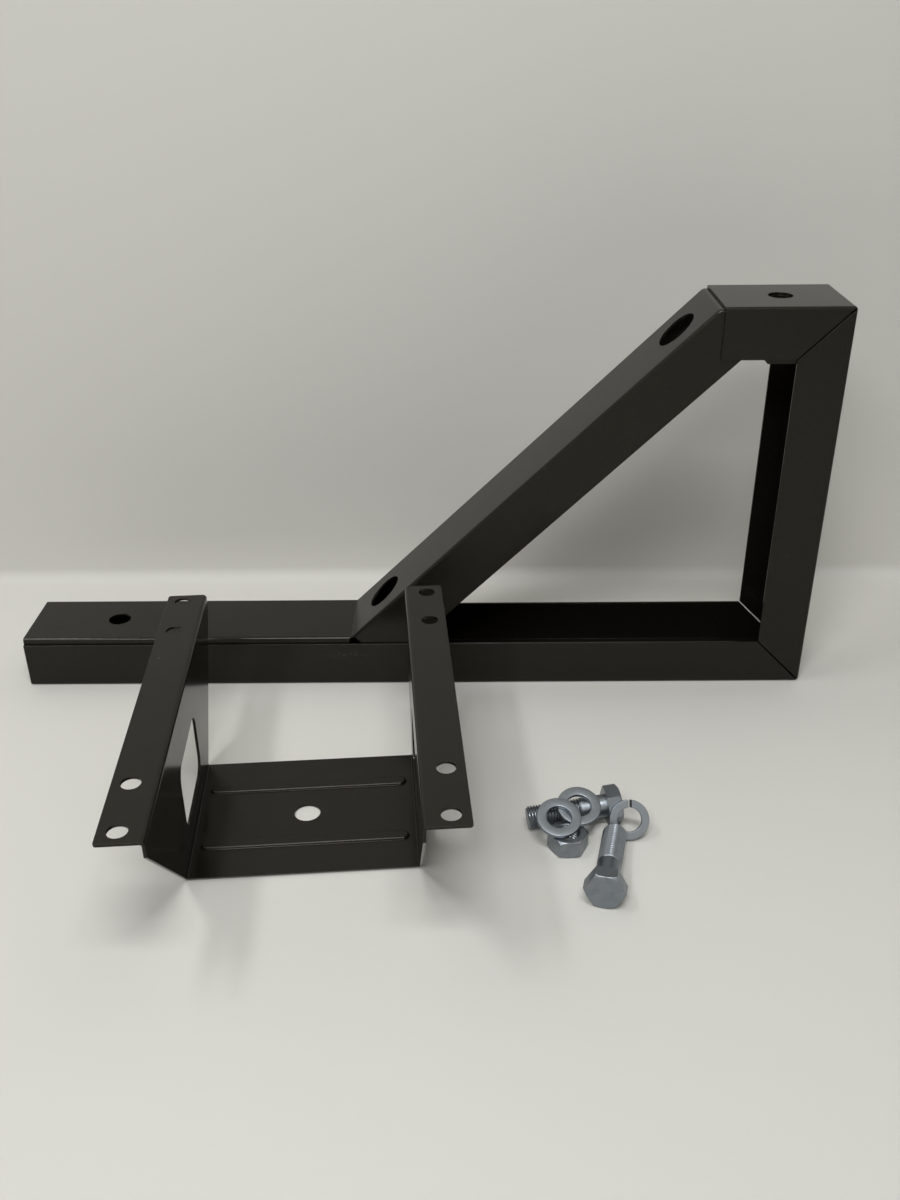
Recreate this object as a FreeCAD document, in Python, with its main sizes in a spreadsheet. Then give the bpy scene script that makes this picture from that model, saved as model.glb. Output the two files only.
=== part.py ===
import FreeCAD, Part
import math
import os
import re

import Sketcher

# Unit heater mounting bracket: a braced arm of folded steel channel, the folded yoke that carries the
# heater on its four-hole flanges, and the bolts, nut and washers of the swivel joint.
# X runs along the arm to the wall, Y across the channel, Z up; the origin is the centre of the
# swivel hole on the underside of the arm. Millimetres.

SIZES = [
    # arm channel
    ("sheet", 2.0, "sheet thickness of all folded pieces"),
    ("bend", 2.5, "outer radius of the long bends"),
    ("fold", 3.0, "outer radius where the web turns a corner"),
    ("inner_fold", 1.0, "inner radius of the same corner"),
    ("arm_length", 640.0, "length of the arm"),
    ("arm_height", 311.0, "height of the post"),
    ("channel_width", 70.0, "outer width across the flanges"),
    ("flange_depth", 38.0, "outer depth of the arm channel"),
    ("top_bar", 93.0, "length of the short bar at the top"),
    ("swivel_from_end", 71.5, "swivel hole from the free end of the arm"),
    ("top_hole_from_end", 46.5, "hole in the top bar from its free end"),
    ("bolt_hole", 18.0, "clearance hole for the 16 mm bolts"),
    ("lag_hole", 11.0, "wall screw holes in the post"),
    ("seam_half", 0.62, "half of the open mitre seam at its inner end, measured upright"),
    ("seam_mouth", 1.0, "half of the same seam at the outer corner"),
    ("seam_end", 0.9, "end of the seam from both outer faces"),
    # brace channel
    ("cap_height", 43.3, "top face of the cap above the floor"),
    ("brace_depth", 39.5, "outer depth of the brace channel"),
    ("brace_foot", 270.0, "lower fold of the brace from the free end"),
    ("brace_head", 543.0, "upper fold of the brace from the free end"),
    ("nest_gap", 2.0, "brace end to the web of the post"),
    ("soft_fold", 5.0, "outer radius of the two brace folds"),
    ("notch_lip", 4.0, "depth of the fold that the lower notch leaves whole inside"),
    ("notch_side", 1.8, "lower notch, half of its width along the flanges"),
    ("notch_tip", 0.5, "point of the notch below the face of the cap"),
    ("access_hole", 32.0, "socket access holes in the brace"),
    ("access_low", 36.2, "lower access hole from the lower fold"),
    ("access_high", 348.5, "upper access hole from the lower fold"),
    # yoke
    ("yoke_width", 156.0, "over the outer wall faces"),
    ("yoke_base", 120.0, "depth of the base plate"),
    ("yoke_height", 102.5, "floor to flange top"),
    ("yoke_flange", 26.5, "flange beyond the wall face"),
    ("yoke_length", 286.5, "length of the flanges"),
    ("yoke_bend", 3.0, "outer bend radius of the yoke"),
    ("wall_drop", 11.0, "straight end of the wall below the flange top"),
    ("flange_corner", 2.0, "corner radius of the flanges"),
    ("mount_hole", 12.0, "heater mounting holes in the flanges"),
    ("mount_inset", 14.7, "mounting holes from the wall face"),
    ("mount_end", 10.75, "outer mounting hole from the end of the flange"),
    ("mount_pitch", 43.25, "from one hole of a flange end to the next"),
    ("window_length", 71.0, "wall window, along the flange"),
    ("window_height", 48.0, "wall window, upright"),
    ("window_centre", 43.4, "wall window centre above the floor"),
    ("window_corner", 11.0, "wall window corner radius"),
    ("bead_margin", 7.5, "end of a bead from the outer wall face"),
    ("bead_width", 9.0, "pressed bead"),
    ("bead_rise", 1.8, "bead above the plate"),
    ("bead_offset", 30.0, "bead centre line from the middle of the plate"),
    ("bead_core", 5.0, "groove under the bead"),
    ("bead_crest", 1.6, "rounding along the top of the bead"),
    ("bead_round", 4.4, "rounding of the bead ends"),
    # fasteners
    ("bolt_dia", 16.0, "bolt diameter"),
    ("bolt_length", 55.0, "bolt length under the head"),
    ("bolt_chamfer", 1.5, "chamfer at the bolt end"),
    ("head_flats", 24.0, "head and nut across flats"),
    ("head_height", 10.0, "bolt head height"),
    ("nut_height", 13.0, "nut height"),
    ("nut_bore", 14.2, "nut bore"),
    ("bore_chamfer", 1.1, "chamfer at both ends of the nut bore"),
    ("crown_width", 2.0, "corners turned off the hexagons, outward"),
    ("crown_depth", 1.6, "corners turned off the hexagons, along the axis"),
    ("overrun", 1.0, "how far a cut runs past the solid"),
    ("washer_dia", 30.0, "flat washer outside"),
    ("washer_hole", 17.0, "flat washer hole"),
    ("washer_thick", 3.0, "flat washer thickness"),
    ("spring_dia", 27.0, "spring washer outside"),
    ("spring_hole", 16.5, "spring washer hole"),
    ("spring_thick", 3.5, "spring washer thickness"),
    ("spring_gap", 2.0, "split of the spring washer"),
]

DERIVED = [
    ("brace_run", "=brace_head - brace_foot"),
    ("brace_rise", "=arm_height - sheet - cap_height"),
    ("brace_length", "=sqrt(brace_run ^ 2 + brace_rise ^ 2)"),
    ("along_x", "=brace_run / brace_length"),
    ("along_z", "=brace_rise / brace_length"),
    ("half_turn", "=brace_rise / (brace_length + brace_run)"),
    ("nest_bottom", "=arm_height - sheet - brace_depth"),
    ("hex_corners", "=head_flats / sqrt(3)"),
    ("mount_outer", "=yoke_length - 2 * mount_end"),
    ("mount_inner", "=mount_outer - 2 * mount_pitch"),
    ("bead_length", "=yoke_width - 2 * bead_margin"),
]

# where the loose pieces lie: x, y, z in millimetres, heading and lean in degrees
YOKE_PLACE = (179.0, -204.7, 0, 4.2, 0)
BOLT_PLACES = {"swivel_bolt": (396.5, -209.6, 188.6), "second_bolt": (376.1, -297.5, 77.0)}
NUT_PLACE = (358.5, -239.5, 0, 32.0, 0)
SPRING_PLACE = (401.1, -225.34, 11.45, 0, 58.0)
WASHER_PLACES = {
    "flat_washer_rear": (367.0, -220.6, 17.89, 8.6, 18.63),
    "flat_washer_front": (352.5, -232.6, 17.89, 8.6, 18.4),
}

os.makedirs("parts", exist_ok=True)
doc = FreeCAD.newDocument("heater_bracket")
sheet = doc.addObject("Spreadsheet::Sheet", "Sizes")
for row, (alias, value, note) in enumerate(SIZES, start=1):
    sheet.set(f"A{row}", alias)
    sheet.set(f"B{row}", str(value))
    sheet.set(f"C{row}", note)
    sheet.setAlias(f"B{row}", alias)
for row, (alias, formula) in enumerate(DERIVED, start=len(SIZES) + 1):
    sheet.set(f"A{row}", alias)
    sheet.set(f"B{row}", formula)
    sheet.setAlias(f"B{row}", alias)
doc.recompute()

NAMES = {entry[0] for entry in SIZES} | {entry[0] for entry in DERIVED}
WORD = re.compile(r"[a-z_]+")
PLANES = {
    "side": FreeCAD.Rotation(FreeCAD.Vector(1, 0, 0), 90),
    "plan": FreeCAD.Rotation(),
    "end": FreeCAD.Rotation(FreeCAD.Vector(1, 1, 1), 120),
}
START_RADIUS = 100.0
CLOSE = 0.01
SLOPE_BAND = 1.5


def named(expression):
    """The expression with every size name pointing at the sheet."""
    return WORD.sub(lambda m: "Sizes." + m.group() if m.group() in NAMES else m.group(), str(expression))


def bind(obj, prop, expression):
    obj.setExpression(prop, named(expression))


def new_body(name):
    body = doc.addObject("PartDesign::Body", name)
    body.Label = name
    return body


def new_sketch(body, name, plane, shapes, offset=None):
    """A fully constrained sketch of closed polygons and circles.

    A polygon is a list of (x, y) expressions, a circle one tuple (x, y, diameter).
    """
    sketch = body.newObject("Sketcher::SketchObject", name)
    sketch.Placement = FreeCAD.Placement(FreeCAD.Vector(), PLANES[plane])
    if offset is not None:
        axis = {"side": "y", "plan": "z", "end": "x"}[plane]
        bind(sketch, f"Placement.Base.{axis}", offset)
    for shape in shapes:
        first = sketch.GeometryCount
        if isinstance(shape, tuple):
            x, y, diameter = shape
            centre = FreeCAD.Vector(START_RADIUS, START_RADIUS, 0)
            sketch.addGeometry(Part.Circle(centre, FreeCAD.Vector(0, 0, 1), START_RADIUS), False)
            pin_point(sketch, first, 3, x, y, centre)
            size = sketch.addConstraint(Sketcher.Constraint("Diameter", first, 2 * START_RADIUS))
            sketch.setExpression(f"Constraints[{size}]", named(diameter))
            continue
        count = len(shape)
        step = FreeCAD.Rotation(FreeCAD.Vector(0, 0, 1), 360 / count)
        start = [FreeCAD.Vector(START_RADIUS, 0, 0)]
        while len(start) < count:
            start.append(step.multVec(start[-1]))
        for k in range(count):
            sketch.addGeometry(Part.LineSegment(start[k], start[(k + 1) % count]), False)
        for k in range(count):
            following = first + (k + 1) % count
            sketch.addConstraint(Sketcher.Constraint("Coincident", first + k, 2, following, 1))
        for k, (x, y) in enumerate(shape):
            pin_point(sketch, first + k, 1, x, y, start[k])
    return sketch


def pin_point(sketch, geometry, point, x, y, start):
    for kind, expression, value in (("DistanceX", x, start.x), ("DistanceY", y, start.y)):
        index = sketch.addConstraint(Sketcher.Constraint(kind, -1, 1, geometry, point, value))
        sketch.setExpression(f"Constraints[{index}]", named(expression))


def pad(body, name, sketch, length, symmetric=True):
    feature = body.newObject("PartDesign::Pad", name)
    feature.Profile = sketch
    feature.Midplane = symmetric
    bind(feature, "Length", length)
    doc.recompute()
    return feature


def pocket(body, name, sketch, length):
    """A cut of the given length, half of it to each side of the sketch."""
    feature = body.newObject("PartDesign::Pocket", name)
    feature.Profile = sketch
    feature.Midplane = True
    bind(feature, "Length", length)
    doc.recompute()
    return feature


def round_edges(body, name, test, radius, kind="PartDesign::Fillet"):
    """Rounds (or chamfers) the edges of the body's last feature whose end points pass the test."""
    base = body.Tip
    chosen = []
    for number, edge in enumerate(base.Shape.Edges, start=1):
        middle = edge.valueAt((edge.FirstParameter + edge.LastParameter) / 2)
        if test([v.Point for v in edge.Vertexes] + [middle]):
            chosen.append(f"Edge{number}")
    if not chosen:
        raise RuntimeError("no edge found for " + name)
    feature = body.newObject(kind, name)
    feature.Base = (base, chosen)
    bind(feature, "Size" if kind.endswith("Chamfer") else "Radius", radius)
    doc.recompute()
    return feature


def at(*wanted):
    """A test: all points of an edge share the coordinates that are given, None meaning any."""
    return lambda points: all(
        abs(point[axis] - value) < CLOSE
        for point in points
        for axis, value in enumerate(wanted)
        if value is not None
    )


def any_of(*tests):
    return lambda points: any(test(points) for test in tests)


def rectangle(x0, y0, x1, y1):
    return [(x0, y0), (x1, y0), (x1, y1), (x0, y1)]


def put(body, place):
    """Leans a piece about X, turns it to its heading and sets it down."""
    x, y, z, heading, lean = place
    turned = FreeCAD.Rotation(FreeCAD.Vector(0, 0, 1), heading)
    leaned = FreeCAD.Rotation(FreeCAD.Vector(1, 0, 0), lean)
    body.Placement = FreeCAD.Placement(FreeCAD.Vector(x, y, z), turned.multiply(leaned))


# Arm channel: one notched channel folded twice, open to the inside of the frame
arm = new_body("arm_channel")
bind(arm, "Placement.Base.x", "-swivel_from_end")
hook = [
    (0, 0),
    ("arm_length", 0),
    ("arm_length", "arm_height"),
    ("arm_length - top_bar", "arm_height"),
    ("arm_length - top_bar", "arm_height - flange_depth"),
    ("arm_length - flange_depth", "arm_height - flange_depth"),
    ("arm_length - flange_depth", "flange_depth"),
    (0, "flange_depth"),
]
pad(arm, "hook", new_sketch(arm, "hook_outline", "side", [hook]), "channel_width")
length, height, half_width = sheet.arm_length, sheet.arm_height, sheet.channel_width / 2
round_edges(arm, "web_corners", any_of(at(length, None, 0), at(length, None, height)), "fold")


def on_web(points):
    """Edges where the outer face of the web meets a flange."""
    middle = points[-1]
    beside = abs(abs(middle.y) - half_width) < CLOSE and at(None, middle.y, None)(points)
    near_corner = middle.x > length - sheet.fold and not sheet.fold < middle.z < height - sheet.fold
    outside = middle.z < CLOSE or middle.z > height - CLOSE or middle.x > length - CLOSE or near_corner
    return beside and outside


round_edges(arm, "long_bends", on_web, "bend")
cavity = [
    ("-sheet", "sheet"),
    ("arm_length - sheet", "sheet"),
    ("arm_length - sheet", "arm_height - sheet"),
    ("arm_length - top_bar - sheet", "arm_height - sheet"),
    ("arm_length - top_bar - sheet", "arm_height - flange_depth - sheet"),
    ("arm_length - flange_depth - sheet", "arm_height - flange_depth - sheet"),
    ("arm_length - flange_depth - sheet", "flange_depth + sheet"),
    ("-sheet", "flange_depth + sheet"),
]
pocket(arm, "cavity", new_sketch(arm, "cavity_outline", "side", [cavity]), "channel_width - 2 * sheet")
inside = length - sheet.sheet
round_edges(
    arm,
    "inner_corners",
    any_of(at(inside, None, sheet.sheet), at(inside, None, height - sheet.sheet)),
    "inner_fold",
)
low_seam = [
    ("arm_length - flange_depth - sheet", "flange_depth + sheet - seam_half"),
    ("arm_length - flange_depth - sheet", "flange_depth + sheet + seam_half"),
    ("arm_length - seam_end", "seam_end + seam_mouth"),
    ("arm_length - seam_end", "seam_end - seam_mouth"),
]
high_seam = [(x, f"arm_height - ({y})") for x, y in low_seam]
for side, name in (("", "far_seams"), ("-", "near_seams")):
    seam_lines = new_sketch(arm, name + "_lines", "side", [low_seam, high_seam], f"{side}channel_width / 2")
    pocket(arm, name, seam_lines, "2 * sheet")
low_hole = new_sketch(arm, "swivel_circle", "plan", [("swivel_from_end", 0, "bolt_hole")], "sheet / 2")
pocket(arm, "swivel_hole", low_hole, "2 * sheet")
top_x = "arm_length - top_bar + top_hole_from_end"
high_hole = new_sketch(arm, "top_circle", "plan", [(top_x, 0, "bolt_hole")], "arm_height - sheet / 2")
pocket(arm, "top_hole", high_hole, "2 * sheet")
lag_holes = [
    (0, "cap_height + access_low * along_z", "lag_hole"),
    (0, "cap_height + access_high * along_z", "lag_hole"),
]
wall_side = new_sketch(arm, "lag_circles", "end", lag_holes, "arm_length - sheet / 2")
pocket(arm, "lag_holes", wall_side, "2 * sheet")

# Brace channel: nests between the flanges of the arm, as cap, brace and liner of the top bar
brace = new_body("brace_channel")
bind(brace, "Placement.Base.x", "-swivel_from_end")
nest_end = "arm_length - sheet - nest_gap"
# a point that lies down the square cut at either end of the sloping run
down_x, down_z = "{0} + ({1}) * along_z", "{0} - ({1}) * along_x"
# where the flange of the slope starts again after the lower notch
slope_x, slope_z = "brace_foot + notch_side * along_x", "cap_height + notch_side * along_z"
folded = [
    (0, "cap_height - brace_depth"),
    (0, "cap_height"),
    ("brace_foot", "cap_height"),
    ("brace_head", "arm_height - sheet"),
    (nest_end, "arm_height - sheet"),
    (nest_end, "nest_bottom"),
    ("brace_head + brace_depth * along_z / along_x", "nest_bottom"),
    (down_x.format("brace_head", "brace_depth"), down_z.format("arm_height - sheet", "brace_depth")),
    (down_x.format(slope_x, "brace_depth"), down_z.format(slope_z, "brace_depth")),
    (down_x.format(slope_x, "notch_lip"), down_z.format(slope_z, "notch_lip")),
    ("brace_foot + notch_lip * half_turn", "cap_height - notch_lip"),
    ("brace_foot - notch_side", "cap_height - notch_lip"),
    ("brace_foot - notch_side", "cap_height - brace_depth"),
]
brace_width = "(channel_width - 2 * sheet)"
pad(brace, "folded_run", new_sketch(brace, "run_outline", "side", [folded]), brace_width)
foot, head, cap, roof = sheet.brace_foot, sheet.brace_head, sheet.cap_height, height - sheet.sheet
round_edges(brace, "upper_fold", at(head, None, roof), "soft_fold")
round_edges(brace, "lower_fold", at(foot, None, cap), "soft_fold - sheet")
inner_half = half_width - sheet.sheet


def on_brace_web(points):
    """Edges where the outer face of the brace web meets a flange."""
    middle = points[-1]
    if not all(abs(abs(point.y) - inner_half) < CLOSE for point in points):
        return False
    on_cap = abs(middle.z - cap) < CLOSE and middle.x < foot
    on_nest = abs(middle.z - roof) < CLOSE and middle.x > head
    normal = (middle.z - cap) * sheet.along_x - (middle.x - foot) * sheet.along_z
    on_slope = abs(normal) < SLOPE_BAND and cap < middle.z < roof
    return on_cap or on_nest or on_slope


round_edges(brace, "long_bends_brace", on_brace_web, "bend")
hollow = [
    ("-sheet", 0),
    ("-sheet", "cap_height - sheet"),
    ("brace_foot + sheet * half_turn", "cap_height - sheet"),
    ("brace_head + sheet * half_turn", "arm_height - 2 * sheet"),
    ("arm_length", "arm_height - 2 * sheet"),
    ("arm_length", 0),
]
hollow_outline = new_sketch(brace, "hollow_outline", "side", [hollow])
pocket(brace, "hollow", hollow_outline, f"{brace_width} - 2 * sheet")
under_fold = foot + sheet.sheet * sheet.half_turn
round_edges(brace, "lower_fold_under", at(under_fold, None, cap - sheet.sheet), "soft_fold")
# the notch in the flanges runs up through the bend, to a point in the fold
notch = [
    ("brace_foot - notch_side", "cap_height - notch_lip - overrun"),
    ("brace_foot - notch_side", "cap_height - bend / 2"),
    ("brace_foot", "cap_height - notch_tip"),
    (down_x.format(slope_x, "bend / 2"), down_z.format(slope_z, "bend / 2")),
    (down_x.format(slope_x, "notch_lip + overrun"), down_z.format(slope_z, "notch_lip + overrun")),
    ("brace_foot + (notch_lip + overrun) * half_turn", "cap_height - notch_lip - overrun"),
]
for side, name in (("", "far_notch"), ("-", "near_notch")):
    edge_of_flange = f"{side}{brace_width} / 2"
    pocket(brace, name, new_sketch(brace, name + "_outline", "side", [notch], edge_of_flange), "2 * sheet")
swivel = ("swivel_from_end", 0, "bolt_hole")
cap_hole = new_sketch(brace, "cap_circle", "plan", [swivel], "cap_height - sheet / 2")
pocket(brace, "cap_hole", cap_hole, "2 * sheet")
above = (top_x, 0, "bolt_hole")
liner_hole = new_sketch(brace, "liner_circle", "plan", [above], "arm_height - sheet - sheet / 2")
pocket(brace, "liner_hole", liner_hole, "2 * sheet")
reached = [("access_low", 0, "access_hole"), ("access_high", 0, "access_hole")]
access = new_sketch(brace, "access_circles", "plan", reached)
rise = math.degrees(math.atan2(sheet.along_z, sheet.along_x))
access.Placement.Rotation = FreeCAD.Rotation(FreeCAD.Vector(0, -1, 0), rise)
bind(access, "Placement.Base.x", "brace_foot")
bind(access, "Placement.Base.z", "cap_height")
pocket(brace, "access_holes", access, "4 * sheet")

# Yoke: one sheet folded to a saddle, its flanges turned outward for the heater
yoke = new_body("yoke")
put(yoke, YOKE_PLACE)
wall, edge = "yoke_width / 2", "yoke_width / 2 + yoke_flange"
hat = [
    (f"-({edge})", "yoke_height - sheet"),
    (f"-({wall})", "yoke_height - sheet"),
    (f"-({wall})", 0),
    (wall, 0),
    (wall, "yoke_height - sheet"),
    (edge, "yoke_height - sheet"),
    (edge, "yoke_height"),
    (f"{wall} - sheet", "yoke_height"),
    (f"{wall} - sheet", "sheet"),
    (f"sheet - {wall}", "sheet"),
    (f"sheet - {wall}", "yoke_height"),
    (f"-({edge})", "yoke_height"),
]
pad(yoke, "saddle", new_sketch(yoke, "saddle_section", "side", [hat]), "yoke_length")
outer, inner, top = sheet.yoke_width / 2, sheet.yoke_width / 2 - sheet.sheet, sheet.yoke_height
round_edges(
    yoke,
    "outer_bends",
    any_of(at(-outer, None, 0), at(outer, None, 0), at(-inner, None, top), at(inner, None, top)),
    "yoke_bend",
)
under = top - sheet.sheet
at_floor = any_of(at(-inner, None, sheet.sheet), at(inner, None, sheet.sheet))
at_flange = any_of(at(-outer, None, under), at(outer, None, under))
round_edges(yoke, "inner_bends", any_of(at_floor, at_flange), "yoke_bend - sheet")
front, back = "yoke_length / 2", "yoke_base / 2"
slope_front = [
    (f"-({back})", "-sheet"),
    (f"-({back})", 0),
    (f"-({front})", "yoke_height - wall_drop"),
    (f"-({front}) - sheet", "yoke_height - wall_drop"),
    (f"-({front}) - sheet", "-sheet"),
]
slope_back = [(f"-({x})", z) for x, z in slope_front]
tapers = new_sketch(yoke, "taper_outlines", "end", [slope_front, slope_back])
pocket(yoke, "tapered_walls", tapers, "yoke_width + 2 * yoke_flange + sheet")
half_window = "window_length / 2"
sill, lintel = "window_centre - window_height / 2", "window_centre + window_height / 2"
window = rectangle(f"-{half_window}", sill, half_window, lintel)
pocket(yoke, "windows", new_sketch(yoke, "window_outline", "end", [window]), "yoke_width + sheet")
reach, low, high = (
    sheet.window_length / 2,
    sheet.window_centre - sheet.window_height / 2,
    sheet.window_centre + sheet.window_height / 2,
)
round_edges(
    yoke,
    "window_corners",
    any_of(at(None, reach, low), at(None, -reach, low), at(None, reach, high), at(None, -reach, high)),
    "window_corner",
)
mounts = [
    (f"{side}({wall} + mount_inset)", f"{way}{spacing} / 2", "mount_hole")
    for side in ("", "-")
    for spacing in ("mount_outer", "mount_inner")
    for way in ("", "-")
]
mount_circles = new_sketch(yoke, "mount_circles", "plan", mounts, "yoke_height - sheet / 2")
pocket(yoke, "mount_holes", mount_circles, "2 * sheet")
centre_circle = new_sketch(yoke, "centre_circle", "plan", [(0, 0, "bolt_hole")], "sheet / 2")
pocket(yoke, "centre_hole", centre_circle, "2 * sheet")
corner_x, corner_y = sheet.yoke_width / 2 + sheet.yoke_flange, sheet.yoke_length / 2
round_edges(
    yoke,
    "flange_corners",
    any_of(*[at(sx * corner_x, sy * corner_y, None) for sx in (1, -1) for sy in (1, -1)]),
    "flange_corner",
)


def bead_outlines(length_name, width_name):
    return [
        rectangle(
            f"-{length_name} / 2",
            f"{way}bead_offset - {width_name} / 2",
            f"{length_name} / 2",
            f"{way}bead_offset + {width_name} / 2",
        )
        for way in ("", "-")
    ]


beads = new_sketch(yoke, "bead_outlines", "plan", bead_outlines("bead_length", "bead_width"), "sheet / 2")
pad(yoke, "beads", beads, "bead_rise + sheet / 2", symmetric=False)
bead_end, bead_top = sheet.bead_length / 2, sheet.sheet + sheet.bead_rise


def bead_upright(points):
    """The upright corner edges at the ends of the beads."""
    at_end = all(abs(abs(point.x) - bead_end) < CLOSE for point in points)
    return at_end and abs(points[0].z - points[1].z) > CLOSE


round_edges(yoke, "bead_ends", bead_upright, "bead_round")
round_edges(yoke, "bead_crests", at(None, None, bead_top), "bead_crest")
core_length = "(bead_length - bead_width + bead_core)"
grooves = new_sketch(yoke, "groove_outlines", "plan", bead_outlines(core_length, "bead_core"))
pocket(yoke, "grooves", grooves, "2 * bead_rise")


# Fasteners
def hexagon():
    """Corners of a hexagon with two flats square to X."""
    half, corner = "head_flats / 2", "hex_corners"
    return [
        (half, f"-{corner} / 2"),
        (half, f"{corner} / 2"),
        (0, corner),
        (f"-{half}", f"{corner} / 2"),
        (f"-{half}", f"-{corner} / 2"),
        (0, f"-{corner}"),
    ]


def turn_off(body, name, triangle):
    """Turns the corners of a hexagon off with a triangle swept round the axis."""
    groove = body.newObject("PartDesign::Groove", name)
    groove.Profile = new_sketch(body, name + "_profile", "side", [triangle])
    groove.ReferenceAxis = (groove.Profile[0], ["V_Axis"])
    groove.Angle = 360
    doc.recompute()


def hex_bolt(name, place):
    body = new_body(name)
    pad(body, "head", new_sketch(body, "head_outline", "plan", [hexagon()]), "head_height", symmetric=False)
    rim, past = "hex_corners - crown_width", "hex_corners + overrun"
    turn_off(body, "head_crown", [(rim, 0), (past, 0), (past, "crown_depth")])
    pad(
        body,
        "shank",
        new_sketch(body, "shank_circle", "plan", [(0, 0, "bolt_dia")], "head_height - sheet"),
        "bolt_length + sheet",
        symmetric=False,
    )
    tip = sheet.head_height + sheet.bolt_length
    round_edges(body, "end_chamfer", at(None, None, tip), "bolt_chamfer", "PartDesign::Chamfer")
    # it rests on one flat of the head and on the end of its shank
    x, y, heading = place
    run = sheet.bolt_length - sheet.bolt_chamfer
    tilt = math.atan2(sheet.head_flats / 2 - sheet.bolt_dia / 2, run)
    lift = (sheet.head_flats / 2 + sheet.head_height * math.tan(tilt)) * math.cos(tilt)
    lying = FreeCAD.Rotation(FreeCAD.Vector(0, 1, 0), 90 + math.degrees(tilt))
    turned = FreeCAD.Rotation(FreeCAD.Vector(0, 0, 1), heading)
    body.Placement = FreeCAD.Placement(FreeCAD.Vector(x, y, lift), turned.multiply(lying))
    return body


def ring(name, outside, hole, thick):
    body = new_body(name)
    outline = new_sketch(body, "ring_circles", "plan", [(0, 0, outside), (0, 0, hole)])
    pad(body, "ring", outline, thick, symmetric=False)
    return body


for name, place in BOLT_PLACES.items():
    hex_bolt(name, place)

nut = new_body("hex_nut")
block = new_sketch(nut, "block_outline", "plan", [hexagon(), (0, 0, "nut_bore")])
pad(nut, "block", block, "nut_height", symmetric=False)
rim, past = "hex_corners - crown_width", "hex_corners + overrun"
turn_off(nut, "lower_crown", [(rim, 0), (past, 0), (past, "crown_depth")])
upper = [(rim, "nut_height"), (past, "nut_height"), (past, "nut_height - crown_depth")]
turn_off(nut, "upper_crown", upper)
bore = sheet.nut_bore / 2
round_edges(
    nut,
    "bore_chamfers",
    lambda points: all(abs(math.hypot(p.x, p.y) - bore) < CLOSE for p in points)
    and any_of(at(None, None, 0), at(None, None, sheet.nut_height))(points),
    "bore_chamfer",
    "PartDesign::Chamfer",
)
put(nut, NUT_PLACE)

spring = ring("spring_washer", "spring_dia", "spring_hole", "spring_thick")
split = [
    ("-spring_gap / 2 - overrun", "-overrun"),
    ("spring_gap / 2 - overrun", "-overrun"),
    ("spring_gap / 2 + overrun", "spring_thick + overrun"),
    ("-spring_gap / 2 + overrun", "spring_thick + overrun"),
]
cut = new_sketch(spring, "split_outline", "side", [split], "spring_dia / 2")
pocket(spring, "split", cut, "spring_dia / 2")
put(spring, SPRING_PLACE)

# The flat washers lean on the nut and against the shank of the first bolt
for name, place in WASHER_PLACES.items():
    put(ring(name, "washer_dia", "washer_hole", "washer_thick"), place)

doc.recompute()
for obj in doc.Objects:
    if "Invalid" in obj.State or "Error" in obj.State:
        raise RuntimeError(f"{obj.Name}: {obj.State}")
for body in [obj for obj in doc.Objects if obj.TypeId == "PartDesign::Body"]:
    shape = body.Shape
    if shape.isNull() or not shape.isValid() or len(shape.Solids) != 1:
        raise RuntimeError(f"{body.Label}: shape not valid")
    shape.exportStep(f"parts/{body.Label}.step")
    box = shape.BoundBox
    low, high = (box.XMin, box.YMin, box.ZMin), (box.XMax, box.YMax, box.ZMax)
    print(body.Label, [round(v, 1) for v in low], [round(v, 1) for v in high])
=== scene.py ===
import math

import bmesh
import bpy
from bpy.props import FloatProperty, FloatVectorProperty, IntProperty, PointerProperty
from mathutils import Matrix, Vector


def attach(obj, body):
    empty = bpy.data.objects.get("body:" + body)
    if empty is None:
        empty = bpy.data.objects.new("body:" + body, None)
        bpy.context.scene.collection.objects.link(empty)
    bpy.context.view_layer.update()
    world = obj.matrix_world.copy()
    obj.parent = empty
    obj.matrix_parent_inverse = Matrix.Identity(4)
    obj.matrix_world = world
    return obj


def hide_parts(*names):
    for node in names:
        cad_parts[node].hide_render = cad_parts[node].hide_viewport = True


bl_info = {
    "name": "Heater Bracket Finish",
    "version": (1, 0, 0),
    "blender": (4, 5, 0),
    "location": "View3D > Sidebar > Bracket",
    "description": "Enamels the folded bracket and cuts the threads of its loose fasteners",
    "category": "Object",
}

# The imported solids: the origin is the swivel hole on the underside of the arm, X runs along the arm to
# the wall post, Y across the channel, Z up. Metres.
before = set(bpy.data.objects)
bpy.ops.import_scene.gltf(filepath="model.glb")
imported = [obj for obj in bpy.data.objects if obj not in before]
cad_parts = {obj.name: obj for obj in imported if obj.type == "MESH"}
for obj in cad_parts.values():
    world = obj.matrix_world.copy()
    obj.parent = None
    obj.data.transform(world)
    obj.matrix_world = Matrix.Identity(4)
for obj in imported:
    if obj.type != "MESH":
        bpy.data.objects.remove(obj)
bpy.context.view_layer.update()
MM = 0.001

# Fasteners, in millimetres: how each one is made
HEAD_FLATS, HEAD_HEIGHT, NUT_HEIGHT = 24.0, 10.0, 13.0
CROWN_WIDTH, CROWN_DEPTH, CROWN_STEPS = 2.0, 1.6, 6
SHANK_RADIUS, SHANK_LENGTH, SHANK_TIP = 8.0, 55.0, 6.5
BORE_RADIUS, BORE_MOUTH = 7.1, 8.2
WASHER_OUTSIDE, WASHER_HOLE, WASHER_THICK, WASHER_EDGE = 30.0, 17.0, 3.0, 0.5
WASHER_AROUND, WASHER_EDGE_STEPS = 128, 3

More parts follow.
